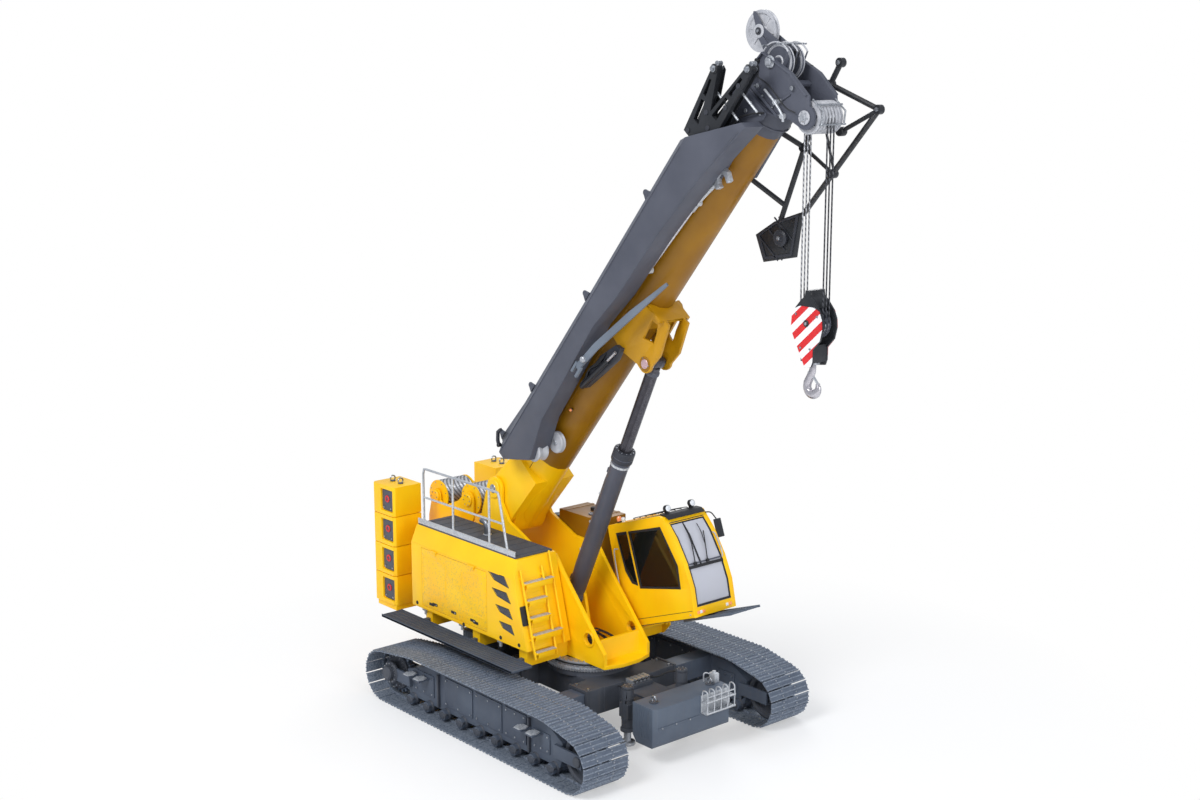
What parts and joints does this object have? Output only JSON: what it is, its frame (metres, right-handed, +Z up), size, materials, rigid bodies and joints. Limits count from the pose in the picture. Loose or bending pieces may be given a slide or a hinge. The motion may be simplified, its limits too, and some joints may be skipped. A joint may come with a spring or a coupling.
{
  "type": "telescopic crawler crane",
  "caption": "Crawler crane with a telescopic boom, tilting cab, stacked counterweights and tracks that slide in for transport.",
  "frame": {"origin": "on the ground under the middle of the machine's outline, boom raised as at rest", "axes": "+X forward, +Y the driver's left, +Z up"},
  "size_m": [9.838, 4.984, 11.7555],
  "materials": {
    "machine_yellow": "gloss paint, baked",
    "boom_amber": "gloss paint on plate steel",
    "dark_grey_paint": "satin paint",
    "black_paint": "satin paint",
    "track_steel": "rolled shoes, worn on the bars",
    "bright_steel": "machined and galvanised",
    "window_glass": "tinted safety glass",
    "seat_fabric": "woven seat cloth",
    "dark_plastic": "grained plastic"
  },
  "bodies": {
    "undercarriage": {"car_body": "dark_grey_paint", "front_ballast": "dark_grey_paint", "rear_ballast": "dark_grey_paint", "step_rack": "bright_steel"},
    "right_track": {"track_frame_right": "dark_grey_paint", "track_shoes_right": "track_steel", "drive_sprocket_right": "bright_steel", "track_idler_right": "bright_steel"},
    "left_track": {"track_frame_left": "dark_grey_paint", "track_shoes_left": "track_steel", "drive_sprocket_left": "bright_steel", "track_idler_left": "bright_steel"},
    "support_jacks": {"jack_front_right": "bright_steel", "jack_front_left": "bright_steel", "jack_rear_right": "bright_steel", "jack_rear_left": "bright_steel"},
    "upper": {"slew_ring": "bright_steel", "upper_frame": "machine_yellow", "boom_pin": "bright_steel", "engine_hood": "machine_yellow", "engine_block": "dark_plastic", "left_housing": "machine_yellow", "tank_housing": "boom_amber", "counterweight_base": "machine_yellow", "counterweight_right": "machine_yellow", "counterweight_left": "machine_yellow", "winch_frame": "machine_yellow", "right_catwalk": "dark_grey_paint", "walkway": "dark_grey_paint", "hood_ladder": "machine_yellow", "cab_carrier": "machine_yellow"},
    "hood_door": {"hood_door": "machine_yellow"},
    "main_winch": {"main_winch_drum": "machine_yellow"},
    "auxiliary_winch": {"auxiliary_winch_drum": "machine_yellow"},
    "cab": {"cab_shell": "machine_yellow", "windscreen": "window_glass", "right_window": "window_glass", "cab_seat": "seat_fabric", "cab_console": "dark_plastic", "cab_step": "dark_grey_paint"},
    "cab_door": {"cab_door": "machine_yellow"},
    "boom": {"boom_base": "boom_amber", "lift_bracket": "boom_amber", "stowed_jib": "dark_grey_paint", "jib_fork": "black_paint", "fly_frame": "black_paint"},
    "section_2": {"boom_section_2": "bright_steel"},
    "section_3": {"boom_section_3": "bright_steel"},
    "section_4": {"boom_section_4": "bright_steel"},
    "boom_head": {"boom_section_5": "bright_steel", "boom_head": "dark_grey_paint"},
    "head_sheaves": {"head_sheaves": "bright_steel"},
    "nose_sheave": {"nose_sheave": "bright_steel"},
    "hook_block": {"hoist_ropes": "bright_steel", "hook_block": "black_paint"},
    "hook": {"hook": "bright_steel"},
    "lift_barrel": {"lift_barrel": "dark_grey_paint"},
    "lift_rod": {"lift_rod": "bright_steel"}
  },
  "joints": [
    {"name": "right_track_width", "type": "slide", "parent": "undercarriage", "child": "right_track", "axis": [0, 1, 0], "range_m": [0, 0.5]},
    {"name": "left_track_width", "type": "slide", "parent": "undercarriage", "child": "left_track", "axis": [0, -1, 0], "range_m": [0, 0.5]},
    {"name": "jack_extend", "type": "slide", "parent": "undercarriage", "child": "support_jacks", "axis": [0, 0, -1], "range_m": [0, 0.08]},
    {"name": "slew", "type": "hinge", "parent": "undercarriage", "child": "upper", "pos_m": [-0.499, 0, 1.1], "axis": [0, 0, 1], "continuous": true},
    {"name": "hood_door_hinge", "type": "hinge", "parent": "upper", "child": "hood_door", "pos_m": [-2.439, -1.476, 2.566], "axis": [-1, 0, 0], "range_deg": [0, 80]},
    {"name": "main_winch_spin", "type": "hinge", "parent": "upper", "child": "main_winch", "pos_m": [-4.439, 0, 3.1], "axis": [0, 1, 0], "continuous": true},
    {"name": "auxiliary_winch_spin", "type": "hinge", "parent": "upper", "child": "auxiliary_winch", "pos_m": [-3.429, 0, 3.23], "axis": [0, 1, 0], "continuous": true},
    {"name": "cab_tilt", "type": "hinge", "parent": "upper", "child": "cab", "pos_m": [-0.12998, 1.1, 1.38715], "axis": [0, -1, 0], "range_deg": [-20, 0]},
    {"name": "cab_door_slide", "type": "slide", "parent": "cab", "child": "cab_door", "axis": [-0.9397, 0, -0.342], "range_m": [0, 0.65]},
    {"name": "boom_luff", "type": "hinge", "parent": "upper", "child": "boom", "pos_m": [-2.499, 0, 3.65], "axis": [0, -1, 0], "range_deg": [-38.5, 27]},
    {"name": "telescope_2", "type": "slide", "parent": "boom", "child": "section_2", "axis": [0.6361, 0, 0.7716], "range_m": [0, 7.4]},
    {"name": "telescope_3", "type": "slide", "parent": "section_2", "child": "section_3", "axis": [0.6361, 0, 0.7716], "range_m": [0, 7.4]},
    {"name": "telescope_4", "type": "slide", "parent": "section_3", "child": "section_4", "axis": [0.6361, 0, 0.7716], "range_m": [0, 7.4]},
    {"name": "telescope_5", "type": "slide", "parent": "section_4", "child": "boom_head", "axis": [0.6361, 0, 0.7716], "range_m": [0, 7.4]},
    {"name": "head_sheave_spin", "type": "hinge", "parent": "boom_head", "child": "head_sheaves", "pos_m": [4.45655, 0, 10.27981], "axis": [0, 1, 0], "continuous": true},
    {"name": "nose_sheave_spin", "type": "hinge", "parent": "boom_head", "child": "nose_sheave", "pos_m": [3.32738, 0, 11.45686], "axis": [0, 1, 0], "continuous": true},
    {"name": "hook_plumb", "type": "hinge", "parent": "boom_head", "child": "hook_block", "pos_m": [4.45655, 0, 10.27981], "axis": [0, -1, 0], "range_deg": [-27.01, 38.51]},
    {"name": "hook_swivel", "type": "hinge", "parent": "hook_block", "child": "hook", "pos_m": [4.45655, 0, 7.38981], "axis": [0, 0, 1], "continuous": true},
    {"name": "lift_barrel_swing", "type": "hinge", "parent": "upper", "child": "lift_barrel", "pos_m": [-0.929, 0, 1.95], "axis": [0, -1, 0], "range_deg": [-32.85, 23.05]},
    {"name": "lift_rod_slide", "type": "slide", "parent": "lift_barrel", "child": "lift_rod", "axis": [0.4223, 0, 0.9064], "range_m": [-1.4604, 1.0245]}
  ],
  "couplings": [
    {"joint": "telescope_3", "follows": "telescope_2", "ratio": 1},
    {"joint": "telescope_4", "follows": "telescope_2", "ratio": 1},
    {"joint": "telescope_5", "follows": "telescope_2", "ratio": 1},
    {"joint": "hook_plumb", "follows": "boom_luff", "ratio": -1},
    {"joint": "lift_barrel_swing", "follows": "boom_luff", "ratio": 0.852},
    {"joint": "lift_rod_slide", "follows": "boom_luff", "m_per_rad": 2.1719}
  ]
}
